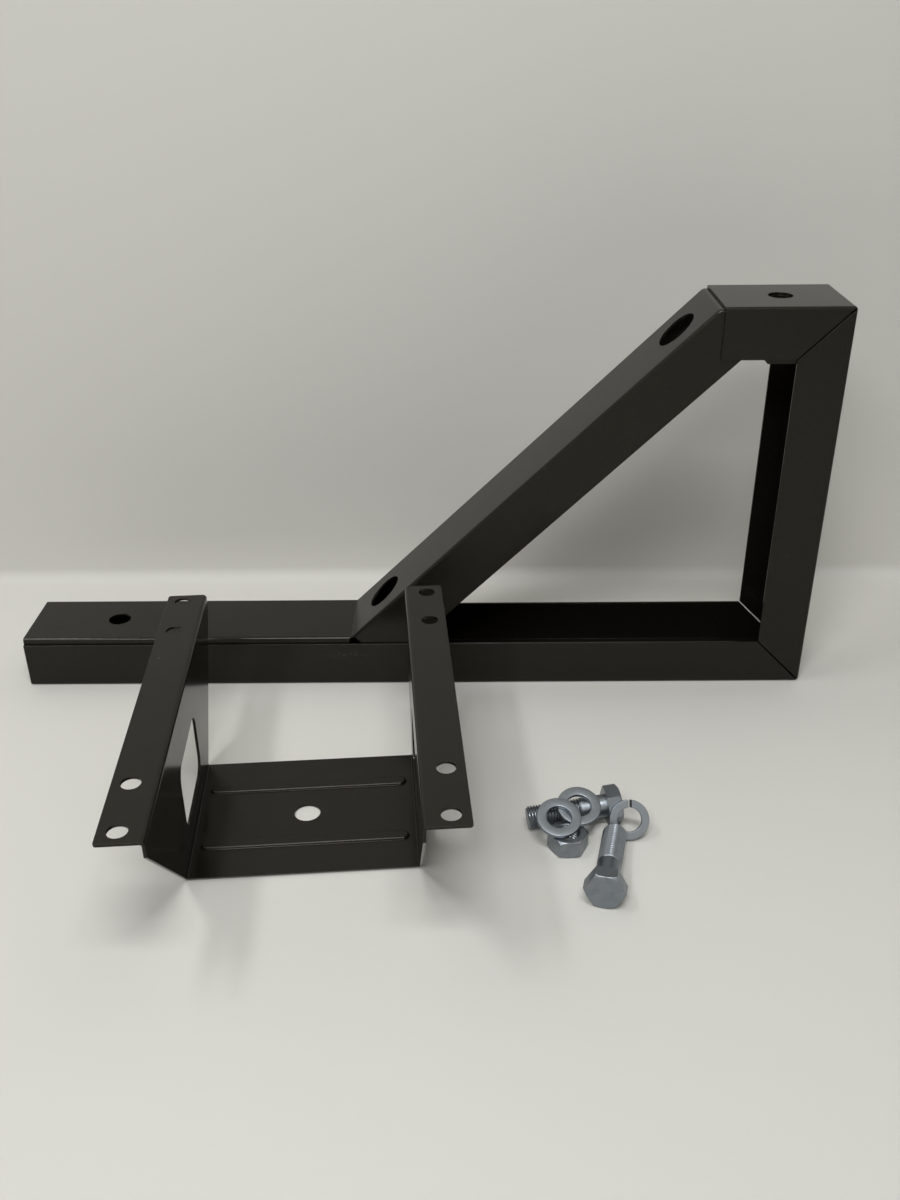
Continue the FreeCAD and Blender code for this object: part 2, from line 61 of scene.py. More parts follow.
# Where they lie on the floor, as in the CAD: x, y and heading of a bolt, and x, y, z, heading and lean of
# the others, in millimetres and degrees
BOLT_PLACES = {"swivel_bolt": (396.5, -209.6, 188.6), "second_bolt": (376.1, -297.5, 77.0)}
NUT_PLACE = (358.5, -239.5, 0, 32.0, 0)
WASHER_PLACES = {
    "flat_washer_rear": (367.0, -220.6, 17.89, 8.6, 18.63),
    "flat_washer_front": (352.5, -232.6, 17.89, 8.6, 18.4),
}

# Thread form, as shares of the pitch: half of the flat crest, where the flank reaches the root, and the
# length over which the thread runs out; and how much of a bolt's depth the nut's thread has
HALF_CREST, FLANK_END, RUN_OUT, BORE_SHARE = 1 / 16, 3 / 8, 1.5, 0.8

# Points nearer than these, in metres, become one point
SHEET_MERGE, THREAD_MERGE, FASTENER_MERGE = 0.002 * MM, 0.005 * MM, 0.01 * MM
# Angles between faces, in degrees: below FLAT they are one face, above SOFTENED the edge of a sheet is
# rounded, and above the last two the edge of a fastener is shaded sharp
FLAT, SOFTENED, THREAD_SHARP, WASHER_SHARP = 0.3, 38, 28, 40

# Noise levels between which the speckle, the flecks of a rub mark and the clouds fade in
SPECKLE_LEVELS, FLECK_LEVELS, CLOUD_LEVELS = (0.35, 0.75), (0.5, 0.66), (0.3, 0.7)
# A rub mark has its full strength within this share of its half size
RUB_CORE = 0.3
# How far the clouds change the roughness of the enamel, and the relief of its speckle beside the peel's
GLOSS_SPREAD, SPECKLE_RELIEF = 0.02, 0.35
# From bright to dull zinc, and the matt paint
ZINC_ROUGHNESS, PAINT_ROUGHNESS = (0.30, 0.46), 0.7
# Sockets of a colour Mix node: its factor, its two colours and its result
SHARE, FIRST, SECOND, RESULT = 0, 6, 7, 2

# Marks in the enamel where the pieces were handled: centre and half sizes in metres
ARM_RUBS = (
    ((0.192, -0.035, 0.028), (0.026, 0.004, 0.005)),
    ((0.543, -0.035, 0.117), (0.012, 0.004, 0.002)),
)
BRACE_RUBS = (((0.3525, -0.033, 0.190), (0.003, 0.003, 0.003)),)
YOKE_RUBS = (((0.078, -0.162, 0.1025), (0.007, 0.005, 0.002)),)

# The camera of the photograph: where it stands and how it is turned, in metres and radians, and its lens
# and film in millimetres
EYE_PLACE = (0.285444, -0.832257, 0.513038)
EYE_YAW, EYE_PITCH, EYE_ROLL = -0.00776, 0.49883, 0.00969
LENS, FILM = 34.0, 36.0

# Lights: place, size, what each points at and its share of the power
LAMPS = {
    "overhead_light": ((0.35, -0.9, 1.9), (0.9, 0.3), (0.35, -0.9, 0.0), 0.37),
    "left_strip": ((-0.75, -0.36, 1.9), (0.2, 0.8), (-0.75, -0.36, 0.0), 0.19),
    "front_light": ((-0.3, -2.0, 1.9), (1.2, 0.5), (0.3, 0.0, 0.1), 0.44),
}


def linear(code):
    """The linear colour of an sRGB hex value."""
    channels = [int(code[start : start + 2], 16) / 255 for start in (1, 3, 5)]
    return tuple(c / 12.92 if c <= 0.04045 else ((c + 0.055) / 1.055) ** 2.4 for c in channels)


def add(tree, kind, inputs=None, **settings):
    """Adds a node with its settings. An input that is a node or a socket is linked, else it is a value."""
    made = tree.nodes.new(kind)
    for name, value in settings.items():
        setattr(made, name, value)
    for key, value in (inputs or {}).items():
        if isinstance(value, bpy.types.Node):
            value = value.outputs[0]
        if isinstance(value, bpy.types.NodeSocket):
            tree.links.new(value, made.inputs[key])
        else:
            made.inputs[key].default_value = value
    return made


def new_object(name, data):
    """An object with this mesh, light or camera, in the scene."""
    made = bpy.data.objects.new(name, data)
    bpy.context.scene.collection.objects.link(made)
    return made


def settle(piece):
    """Turns a piece with modifiers into a plain mesh."""
    graph = bpy.context.evaluated_depsgraph_get()
    piece_mesh = bpy.data.meshes.new_from_object(piece.evaluated_get(graph))
    piece.modifiers.clear()
    piece.data = piece_mesh
    return piece


def hand_over(piece, node):
    """The piece stands for its CAD node, which is hidden, and moves with the part."""
    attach(piece, "root")
    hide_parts(node)


# Materials
def new_material(name):
    """A material with its node tree and its shader."""
    material = bpy.data.materials.new(name)
    material.use_nodes = True
    tree = material.node_tree
    return material, tree, tree.nodes["Principled BSDF"]


def enamel(name, settings, rubs):
    """Baked enamel on sheet steel: dark bronze, sprayed, so it has an orange peel and a satin gloss."""
    material, tree, shader = new_material(name)
    place = add(tree, "ShaderNodeTexCoord").outputs["Object"]
    peel, grain, cloud, scuff = (
        add(tree, "ShaderNodeTexNoise", {"Vector": place, "Scale": 1 / size, "Detail": detail})
        for size, detail in (
            (settings.peel_size, 1.0),
            (settings.grain_size, 2.0),
            (settings.cloud_size, 3.0),
            (settings.scuff_size, 4.0),
        )
    )
    low, high = SPECKLE_LEVELS
    speckle = add(tree, "ShaderNodeMapRange", {"Value": grain, "From Min": low, "From Max": high})
    colour = add(
        tree,
        "ShaderNodeMix",
        {SHARE: speckle, FIRST: (*settings.colour, 1), SECOND: (*settings.speckle, 1)},
        data_type="RGBA",
    ).outputs[RESULT]
    low, high = FLECK_LEVELS
    flecks = add(tree, "ShaderNodeMapRange", {"Value": scuff, "From Min": low, "From Max": high})
    for centre, half in rubs:
        away = add(tree, "ShaderNodeVectorMath", {0: place, 1: centre}, operation="SUBTRACT")
        scaled = add(tree, "ShaderNodeVectorMath", {0: away, 1: half}, operation="DIVIDE")
        reach = add(tree, "ShaderNodeVectorMath", {0: scaled}, operation="LENGTH").outputs["Value"]
        worn = add(
            tree,
            "ShaderNodeMapRange",
            {"Value": reach, "From Min": 1.0, "From Max": RUB_CORE, "To Max": settings.rub_strength},
        )
        rubbed = add(tree, "ShaderNodeMath", {0: worn, 1: flecks}, operation="MULTIPLY")
        colour = add(
            tree,
            "ShaderNodeMix",
            {SHARE: rubbed, FIRST: colour, SECOND: (*settings.rub_colour, 1)},
            data_type="RGBA",
        ).outputs[RESULT]
    low, high = CLOUD_LEVELS
    gloss = add(
        tree,
        "ShaderNodeMapRange",
        {
            "Value": cloud,
            "From Min": low,
            "From Max": high,
            "To Min": settings.roughness - GLOSS_SPREAD,
            "To Max": settings.roughness + GLOSS_SPREAD,
        },
    )
    relief = add(tree, "ShaderNodeMath", {0: grain, 1: SPECKLE_RELIEF, 2: peel}, operation="MULTIPLY_ADD")
    bump = add(tree, "ShaderNodeBump", {"Height": relief, "Strength": 1.0, "Distance": settings.peel_depth})
    tree.links.new(colour, shader.inputs["Base Color"])
    tree.links.new(gloss.outputs[0], shader.inputs["Roughness"])
    tree.links.new(bump.outputs[0], shader.inputs["Normal"])
    shader.inputs["IOR"].default_value = settings.ior
    shader.inputs["Specular Tint"].default_value = (*settings.sheen, 1)
    return material


def zinc(settings):
    """Zinc plate on steel, bright and a little blue: a soft metal shine with cloudy patches."""
    material, tree, shader = new_material("bright_zinc_plate")
    place = add(tree, "ShaderNodeTexCoord").outputs["Object"]
    cloud, pits = (
        add(tree, "ShaderNodeTexNoise", {"Vector": place, "Scale": 1 / size, "Detail": detail})
        for size, detail in ((settings.patch_size, 4.0), (settings.pit_size, 2.0))
    )
    colour = add(
        tree,
        "ShaderNodeMix",
        {SHARE: cloud, FIRST: (*settings.colour, 1), SECOND: (*settings.patch, 1)},
        data_type="RGBA",
    )
    (low, high), (bright, dull) = CLOUD_LEVELS, ZINC_ROUGHNESS
    gloss = add(
        tree,
        "ShaderNodeMapRange",
        {"Value": cloud, "From Min": low, "From Max": high, "To Min": bright, "To Max": dull},
    )
    bump = add(tree, "ShaderNodeBump", {"Height": pits, "Strength": 1.0, "Distance": settings.pit_depth})
    tree.links.new(colour.outputs[RESULT], shader.inputs["Base Color"])
    tree.links.new(gloss.outputs[0], shader.inputs["Roughness"])
    tree.links.new(bump.outputs[0], shader.inputs["Normal"])
    shader.inputs["Metallic"].default_value = 1.0
    return material


def plate_of(scene):
    """The one zinc plate of all fasteners."""
    return bpy.data.materials.get("bright_zinc_plate") or zinc(scene.bracket_zinc)


def wall_paint(colour):
    """Matt white paint on the floor and the backdrop, which from behind lets the camera through."""
    material, tree, shader = new_material("matt_white_paint")
    shader.inputs["Base Color"].default_value = (*colour, 1)
    shader.inputs["Roughness"].default_value = PAINT_ROUGHNESS
    behind = add(tree, "ShaderNodeNewGeometry").outputs["Backfacing"]
    seen = add(tree, "ShaderNodeLightPath").outputs["Is Camera Ray"]
    through = add(tree, "ShaderNodeMath", {0: behind, 1: seen}, operation="MULTIPLY")
    clear = add(tree, "ShaderNodeBsdfTransparent")
    mixed = add(tree, "ShaderNodeMixShader", {0: through, 1: shader, 2: clear})
    tree.links.new(mixed.outputs[0], tree.nodes["Material Output"].inputs["Surface"])
    return material


# Sheet pieces
def refined(node, name, edges, material):
    """A copy of a solid with its flats in one face each and its edges softened by the finish."""
    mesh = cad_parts[node].data.copy()
    shape = bmesh.new()
    shape.from_mesh(mesh)
    bmesh.ops.remove_doubles(shape, verts=shape.verts, dist=SHEET_MERGE)
    bmesh.ops.dissolve_limit(shape, angle_limit=math.radians(FLAT), verts=shape.verts, edges=shape.edges)
    shape.to_mesh(mesh)
    shape.free()
    mesh.materials.clear()
    mesh.materials.append(material)
    mesh.shade_smooth()
    piece = new_object(name, mesh)
    bevel = piece.modifiers.new("edges", "BEVEL")
    bevel.limit_method, bevel.angle_limit = "ANGLE", math.radians(SOFTENED)
    bevel.width, bevel.segments = edges.radius, edges.segments
    bevel.use_clamp_overlap = False
    weighted = piece.modifiers.new("flats", "WEIGHTED_NORMAL")
    weighted.keep_sharp = True
    settle(piece)
    hand_over(piece, node)


# Fasteners
def start_tree(name, numbers, counts):
    """A tree of geometry nodes with these named inputs, and a Material."""
    tree = bpy.data.node_groups.new(name, "GeometryNodeTree")
    tree.interface.new_socket("Geometry", in_out="OUTPUT", socket_type="NodeSocketGeometry")
    for label in numbers:
        tree.interface.new_socket(label, in_out="INPUT", socket_type="NodeSocketFloat")
    for label in counts:
        tree.interface.new_socket(label, in_out="INPUT", socket_type="NodeSocketInt")
    tree.interface.new_socket("Material", in_out="INPUT", socket_type="NodeSocketMaterial")
    return tree, add(tree, "NodeGroupInput").outputs


def end_tree(tree, given, shape):
    """Gives the shape its material and the tree its output."""
    real = add(tree, "GeometryNodeRealizeInstances", {"Geometry": shape})
    dressed = add(tree, "GeometryNodeSetMaterial", {"Geometry": real, "Material": given["Material"]})
    add(tree, "NodeGroupOutput", {"Geometry": dressed})
    return tree


def thread_tree():
    """A screw thread as one turned surface; Side is 1 for a bolt and -1 for the bore of a nut."""
    tree, given = start_tree(
        "screw_thread",
        ("Pitch", "Root", "Crest", "Length", "Plain", "Start Radius", "End Radius", "Side"),
        ("Around", "Rows"),
    )
    # A flat grid, of which one side becomes the turn round the axis and the other the way along it
    grid = add(
        tree,
        "GeometryNodeMeshGrid",
        {"Size X": 1.0, "Size Y": 1.0, "Vertices X": given["Around"], "Vertices Y": given["Rows"]},
    )
    flat = add(tree, "ShaderNodeSeparateXYZ", {0: add(tree, "GeometryNodeInputPosition")}).outputs
    ends = {"From Min": -0.5, "From Max": 0.5}
    turn = add(tree, "ShaderNodeMapRange", {"Value": flat["X"], **ends, "To Max": given["Side"]})
    along = add(tree, "ShaderNodeMapRange", {"Value": flat["Y"], **ends, "To Max": given["Length"]})
    # The tooth: a zigzag of one pitch, cut flat at its crest and its root
    turns = add(tree, "ShaderNodeMath", {0: along, 1: given["Pitch"]}, operation="DIVIDE")
    phase = add(tree, "ShaderNodeMath", {0: turns, 1: turn}, operation="SUBTRACT")
    ramp = add(tree, "ShaderNodeMath", {0: phase, 1: 0.5}, operation="PINGPONG")
    tooth = add(
        tree,
        "ShaderNodeMapRange",
        {
            "Value": ramp,
            "From Min": HALF_CREST,
            "From Max": FLANK_END,
            "To Min": given["Crest"],
            "To Max": given["Root"],
        },
    )
    # The plain length, the run-out, and the chamfers at both ends
    full_depth = add(
        tree, "ShaderNodeMath", {0: given["Pitch"], 1: RUN_OUT, 2: given["Plain"]}, operation="MULTIPLY_ADD"
    )
    radius = add(
        tree,
        "ShaderNodeMapRange",
        {
            "Value": along,
            "From Min": given["Plain"],
            "From Max": full_depth,
            "To Min": given["Crest"],
            "To Max": tooth,
        },
    )
    signed = add(tree, "ShaderNodeMath", {0: radius, 1: given["Side"]}, operation="MULTIPLY")
    left = add(tree, "ShaderNodeMath", {0: given["Length"], 1: along}, operation="SUBTRACT")
    for end, way in (("End Radius", left), ("Start Radius", along)):
        limit = add(
            tree, "ShaderNodeMath", {0: given[end], 1: given["Side"], 2: way}, operation="MULTIPLY_ADD"
        )
        signed = add(tree, "ShaderNodeMath", {0: signed, 1: limit}, operation="MINIMUM")
    final = add(tree, "ShaderNodeMath", {0: signed, 1: given["Side"]}, operation="MULTIPLY")
    angle = add(tree, "ShaderNodeMath", {0: turn, 1: math.tau}, operation="MULTIPLY")
    spoke = add(tree, "ShaderNodeCombineXYZ", {"X": final, "Z": along})
    place = add(tree, "ShaderNodeVectorRotate", {"Vector": spoke, "Angle": angle}, rotation_type="Z_AXIS")
    moved = add(tree, "GeometryNodeSetPosition", {"Geometry": grid, "Position": place})
    closed = add(tree, "GeometryNodeMergeByDistance", {"Geometry": moved, "Distance": THREAD_MERGE})
    return end_tree(tree, given, closed)


def ring_tree():
    """A flat washer: a rounded section swept round a circle."""
    tree, given = start_tree("flat_ring", ("Middle", "Width", "Thickness", "Edge"), ("Around",))
    circle = add(
        tree,
        "GeometryNodeCurvePrimitiveCircle",
        {"Resolution": given["Around"], "Radius": given["Middle"]},
    )
    section = add(
        tree,
        "GeometryNodeCurvePrimitiveQuadrilateral",
        {"Width": given["Width"], "Height": given["Thickness"]},
    )
    rounded = add(
        tree,
        "GeometryNodeFilletCurve",
        {"Curve": section, "Radius": given["Edge"], "Count": WASHER_EDGE_STEPS},
        mode="POLY",
    )
    ring = add(tree, "GeometryNodeCurveToMesh", {"Curve": circle, "Profile Curve": rounded})
    return end_tree(tree, given, ring)


def grown(name, tree, values):
    """A plain mesh made by a node tree with these named inputs."""
    piece = new_object(name, bpy.data.meshes.new(name))
    modifier = piece.modifiers.new(tree.name, "NODES")
    modifier.node_group = tree
    sockets = {item.name: item.identifier for item in tree.interface.items_tree if item.in_out == "INPUT"}
    for key, value in values.items():
        modifier[sockets[key]] = value
    return settle(piece)


def ring_at(shape, around, height, radius):
    """A ring of points at a height; radius is a number or a function of the angle."""
    points = []
    for k in range(around):
        angle = math.tau * k / around
        reach = radius(angle) if callable(radius) else radius
        points.append(shape.verts.new((reach * math.cos(angle), reach * math.sin(angle), height)))
    return points


def band(shape, lower, upper):
    """Faces between two rings of as many points."""
    for k in range(len(lower)):
        n = (k + 1) % len(lower)
        shape.faces.new((lower[k], lower[n], upper[n], upper[k]))


def turned_hexagon(height, around, low_hole, high_hole, high_turned):
    """A hexagon block with its corners turned off. With a low hole of radius 0 its low end is closed."""
    flats, corner = HEAD_FLATS / 2 * MM, HEAD_FLATS / math.sqrt(3) * MM
    rim, depth = corner - CROWN_WIDTH * MM, CROWN_DEPTH * MM
    sixth = math.pi / 3
    crown = [
        (depth * k / CROWN_STEPS, rim + (corner - rim) * k / CROWN_STEPS) for k in range(CROWN_STEPS + 1)
    ]
    levels = list(crown)
    levels += [(height - z, limit) for z, limit in reversed(crown)] if high_turned else [(height, corner)]
    shape = bmesh.new()
    rings = [
        ring_at(
            shape,
            around,
            z,
            lambda angle, limit=limit: min(flats / math.cos(angle - sixth * round(angle / sixth)), limit),
        )
        for z, limit in levels
    ]
    for lower, upper in zip(rings, rings[1:]):
        band(shape, lower, upper)
    if low_hole:
        band(shape, ring_at(shape, around, 0.0, low_hole), rings[0])
    else:
        shape.faces.new(rings[0])
    band(shape, rings[-1], ring_at(shape, around, height, high_hole))
    return shape


def finish_fastener(piece, shape, matrix, node, smooth_angle):
    """Joins a bmesh to a piece, closes it, turns its faces outwards and lays it where the matrix says."""
    shape.from_mesh(piece.data)
    bmesh.ops.remove_doubles(shape, verts=shape.verts, dist=FASTENER_MERGE)
    open_edges = [edge for edge in shape.edges if edge.is_boundary]
    if open_edges:
        bmesh.ops.holes_fill(shape, edges=open_edges)
    bmesh.ops.recalc_face_normals(shape, faces=shape.faces)
    for face in shape.faces:
        face.material_index = 0
    shape.to_mesh(piece.data)
    shape.free()
    # The node trees leave an empty slot before the plate
    plate = next(material for material in piece.data.materials if material)
    piece.data.materials.clear()
    piece.data.materials.append(plate)
    piece.data.transform(matrix)
    piece.data.shade_smooth()
    piece.data.set_sharp_from_angle(angle=math.radians(smooth_angle))
    hand_over(piece, node)


def lying(place):
    """The matrix that lays a piece on the floor."""
    x, y, z, heading, lean = place
    return (
        Matrix.Translation(Vector((x, y, z)) * MM)
        @ Matrix.Rotation(math.radians(heading), 4, "Z")
        @ Matrix.Rotation(math.radians(lean), 4, "X")
    )


class BRACKET_PG_enamel(bpy.types.PropertyGroup):
    """Finish of the arm, the brace and the yoke"""

    colour: FloatVectorProperty(
        name="Colour",
        description="Dark bronze enamel",
        subtype="COLOR",
        size=3,
        default=linear("#14120E"),
    )
    speckle: FloatVectorProperty(
        name="Speckle",
        description="Light grains in the enamel",
        subtype="COLOR",
        size=3,
        default=linear("#201D17"),
    )
    rub_colour: FloatVectorProperty(
        name="Rub marks",
        description="Enamel dulled by handling",
        subtype="COLOR",
        size=3,
        default=linear("#5B5952"),
    )
    rub_strength: FloatProperty(
        name="Rubbing",
        description="How far the marks cover the enamel",
        subtype="FACTOR",
        min=0,
        max=1,
        default=0.25,
    )
    roughness: FloatProperty(
        name="Roughness",
        description="Satin gloss of the enamel",
        subtype="FACTOR",
        min=0,
        max=1,
        default=0.18,
    )
    ior: FloatProperty(name="IOR", description="Refraction of the resin", min=1.0, max=2.0, default=1.345)
    sheen: FloatVectorProperty(
        name="Sheen",
        description="Warm tint of the bronze pigment in the gloss",
        subtype="COLOR",
        size=3,
        default=linear("#FFFBF0"),
    )
    peel_size: FloatProperty(
        name="Orange peel",
        description="Width of one wave of the orange peel",
        unit="LENGTH",
        default=1.4 * MM,
    )
    peel_depth: FloatProperty(
        name="Peel depth", description="Height of the orange peel", unit="LENGTH", default=0.010 * MM
    )
    # The grains of real pigment are finer; these are as coarse as they need to show
    grain_size: FloatProperty(
        name="Grain", description="Width of the speckle", unit="LENGTH", default=0.7 * MM
    )
    scuff_size: FloatProperty(
        name="Scuffs", description="Width of the flecks in a rub mark", unit="LENGTH", default=1.5 * MM
    )
    cloud_size: FloatProperty(
        name="Clouding", description="Width of the patches of duller gloss", unit="LENGTH", default=60 * MM
    )


class BRACKET_PG_zinc(bpy.types.PropertyGroup):
    """Finish of the fasteners"""

    colour: FloatVectorProperty(
        name="Colour", description="Zinc plate", subtype="COLOR", size=3, default=linear("#959A9F")
    )
    patch: FloatVectorProperty(
        name="Patches", description="Duller zinc", subtype="COLOR", size=3, default=linear("#747B83")
    )
    patch_size: FloatProperty(
        name="Patch size", description="Width of the duller patches", unit="LENGTH", default=6 * MM
    )
    # The pits of real plate are finer; these are as coarse as they need to show
    pit_size: FloatProperty(
        name="Pit size", description="Width of the pits of the plate", unit="LENGTH", default=0.8 * MM
    )
    pit_depth: FloatProperty(
        name="Pit depth", description="Depth of the pits of the plate", unit="LENGTH", default=0.01 * MM
    )


class BRACKET_PG_edges(bpy.types.PropertyGroup):
    """Edges of the sheet pieces"""

    radius: FloatProperty(
        name="Edge radius",
        description="Rounding of the enamelled sheet edges",
        unit="LENGTH",
        default=0.35 * MM,
    )
    segments: IntProperty(name="Segments", description="Steps round a sheet edge", default=2, min=1)


class BRACKET_PG_thread(bpy.types.PropertyGroup):
    """Threads of the bolts and the nut"""

    pitch: FloatProperty(
        name="Pitch", description="One turn of the thread", unit="LENGTH", default=2.0 * MM
    )
    depth: FloatProperty(
        name="Depth", description="Depth of the thread", unit="LENGTH", default=1.2 * MM
    )
    length: FloatProperty(
        name="Length", description="Threaded end of a bolt", unit="LENGTH", default=38 * MM
    )
    around: IntProperty(name="Around", description="Steps round a fastener", default=96, min=24)
    per_turn: IntProperty(name="Rows", description="Rows in one turn of the thread", default=10, min=6)


class BRACKET_PG_stage(bpy.types.PropertyGroup):
    """Floor, backdrop and light"""

    colour: FloatVectorProperty(
        name="Paint",
        description="Floor and backdrop",
        subtype="COLOR",
        size=3,
        default=linear("#E3E2DC"),
    )
    sky: FloatVectorProperty(
        name="Surroundings",
        description="What is seen past the backdrop",
        subtype="COLOR",
        size=3,
        default=linear("#D8D6D0"),
    )
    gloom: FloatVectorProperty(
        name="Room",
        description="Weak light of the room",
        subtype="COLOR",
        size=3,
        default=linear("#0A0A0A"),
    )
    half_width: FloatProperty(
        name="Half width", description="The floor to each side", unit="LENGTH", default=3.0
    )
    front: FloatProperty(
        name="Front", description="The floor in front of the part", unit="LENGTH", default=3.0
    )
    top: FloatProperty(name="Top", description="Height of the backdrop", unit="LENGTH", default=2.2)
    wall_at: FloatProperty(
        name="Backdrop", description="Where the backdrop stands", unit="LENGTH", default=0.157
    )
    cove: FloatProperty(
        name="Cove", description="Radius between floor and backdrop", unit="LENGTH", default=0.012
    )
    cove_steps: IntProperty(name="Cove steps", description="Faces in the cove", default=24, min=4)
    power: FloatProperty(
        name="Power", description="Power of all lights together", unit="POWER", default=41
    )


class BRACKET_OT_stage(bpy.types.Operator):
    """Lays the floor and the backdrop, hangs the lights and sets the camera"""

    bl_idname = "bracket.stage"
    bl_label = "Stage"

    def execute(self, context):
        stage = context.scene.bracket_stage
        self.lay_backdrop(stage)
        self.hang_lights(stage)
        self.light_room(context, stage)
        self.set_camera(context)
        context.scene.view_settings.view_transform = "Standard"
        return {"FINISHED"}

    def lay_backdrop(self, stage):
        """The floor, which turns up into the backdrop through a cove."""
        profile = [(-stage.front, 0.0)]
        for k in range(stage.cove_steps + 1):
            angle = math.pi / 2 * k / stage.cove_steps
            y = stage.wall_at - stage.cove + stage.cove * math.sin(angle)
            profile.append((y, stage.cove - stage.cove * math.cos(angle)))
        profile.append((stage.wall_at, stage.top))
        shape = bmesh.new()
        sides = (-stage.half_width, stage.half_width)
        rows = [[shape.verts.new((x, y, z)) for x in sides] for y, z in profile]
        for near, far in zip(rows, rows[1:]):
            shape.faces.new((near[0], near[1], far[1], far[0]))
        mesh = bpy.data.meshes.new("backdrop")
        shape.to_mesh(mesh)
        shape.free()
        mesh.shade_smooth()
        mesh.materials.append(wall_paint(tuple(stage.colour)))
        new_object("backdrop", mesh)

    def hang_lights(self, stage):
        """The soft lights, which the camera doesn't see."""
        for name, (place, size, target, share) in LAMPS.items():
            lamp = bpy.data.lights.new(name, "AREA")
            lamp.shape, lamp.size, lamp.size_y = "RECTANGLE", *size
            lamp.energy = stage.power * share
            hung = new_object(name, lamp)
            aim = (Vector(target) - Vector(place)).to_track_quat("-Z", "Y")
            hung.matrix_world = Matrix.Translation(place) @ aim.to_matrix().to_4x4()
            hung.visible_camera = False

    def light_room(self, context, stage):
        """A weak room light, and pale surroundings for the camera and in what shines."""
        world = bpy.data.worlds.new("room")
        context.scene.world = world
        world.use_nodes = True
        tree = world.node_tree
        rays = add(tree, "ShaderNodeLightPath").outputs
        seen = rays["Is Camera Ray"]
        for kind in ("Is Glossy Ray", "Is Transmission Ray"):
            seen = add(tree, "ShaderNodeMath", {0: seen, 1: rays[kind]}, operation="MAXIMUM")
        colour = add(
            tree,
            "ShaderNodeMix",
            {SHARE: seen, FIRST: (*stage.gloom, 1), SECOND: (*stage.sky, 1)},
            data_type="RGBA",
        )
        tree.links.new(colour.outputs[RESULT], tree.nodes["Background"].inputs["Color"])

    def set_camera(self, context):
        """The photograph's camera."""
        camera = bpy.data.cameras.new("camera")
        camera.lens, camera.sensor_width, camera.sensor_fit = LENS, FILM, "AUTO"
        eye = new_object("camera", camera)
        ahead = math.cos(EYE_PITCH)
        forward = Vector((math.sin(EYE_YAW) * ahead, math.cos(EYE_YAW) * ahead, -math.sin(EYE_PITCH)))
        level = Vector((math.cos(EYE_YAW), -math.sin(EYE_YAW), 0.0))
        down = forward.cross(level)
        right = level * math.cos(EYE_ROLL) + down * math.sin(EYE_ROLL)
        below = down * math.cos(EYE_ROLL) - level * math.sin(EYE_ROLL)
        turned = Matrix((right, -below, -forward)).transposed().to_4x4()
        eye.matrix_world = Matrix.Translation(EYE_PLACE) @ turned
        context.scene.camera = eye


class BRACKET_OT_arm(bpy.types.Operator):
    """Enamels the arm frame and the brace that nests in it"""

    bl_idname = "bracket.arm"
    bl_label = "Arm and brace"

    def execute(self, context):
        edges, finish = context.scene.bracket_edges, context.scene.bracket_enamel
        arm = enamel("baked_enamel_arm", finish, ARM_RUBS)
        refined("arm_channel", "arm_frame", edges, arm)
        brace = enamel("baked_enamel_brace", finish, BRACE_RUBS)
        refined("brace_channel", "brace_and_cap", edges, brace)
        return {"FINISHED"}


class BRACKET_OT_yoke(bpy.types.Operator):
    """Enamels the folded yoke"""

    bl_idname = "bracket.yoke"
    bl_label = "Yoke"

    def execute(self, context):
        edges, finish = context.scene.bracket_edges, context.scene.bracket_enamel
        material = enamel("baked_enamel_yoke", finish, YOKE_RUBS)
        refined("yoke", "swivel_yoke", edges, material)
        return {"FINISHED"}


class BRACKET_OT_bolts(bpy.types.Operator):
    """Turns and threads the two hexagon bolts"""

    bl_idname = "bracket.bolts"
    bl_label = "Bolts"

    def execute(self, context):
        scene = context.scene
        thread = scene.bracket_thread
        tree = bpy.data.node_groups.get("screw_thread") or thread_tree()
        length = SHANK_LENGTH * MM
        # A bolt rests on a flat of its head and on the end of its full shank, so it leans
        run = length - (SHANK_RADIUS - SHANK_TIP) * MM
        tilt = math.atan2((HEAD_FLATS / 2 - SHANK_RADIUS) * MM, run)
        lift = (HEAD_FLATS / 2 + HEAD_HEIGHT * math.tan(tilt)) * math.cos(tilt) * MM
        for node, (x, y, heading) in BOLT_PLACES.items():
            shank = grown(
                node + "_threaded",
                tree,
                {
                    "Pitch": thread.pitch,
                    "Root": SHANK_RADIUS * MM - thread.depth,
                    "Crest": SHANK_RADIUS * MM,
                    "Length": length,
                    "Plain": length - thread.length,
                    "Start Radius": SHANK_RADIUS * MM,
                    "End Radius": SHANK_TIP * MM,
                    "Side": 1.0,
                    "Around": thread.around + 1,
                    "Rows": round(length / thread.pitch * thread.per_turn) + 1,
                    "Material": plate_of(scene),
                },
            )
            shank.data.transform(Matrix.Translation((0, 0, HEAD_HEIGHT * MM)))
            head = turned_hexagon(HEAD_HEIGHT * MM, thread.around, 0, SHANK_RADIUS * MM, False)
            matrix = (
                Matrix.Translation((x * MM, y * MM, lift))
                @ Matrix.Rotation(math.radians(heading), 4, "Z")
                @ Matrix.Rotation(math.pi / 2 + tilt, 4, "Y")
            )
            finish_fastener(shank, head, matrix, node, THREAD_SHARP)
        return {"FINISHED"}


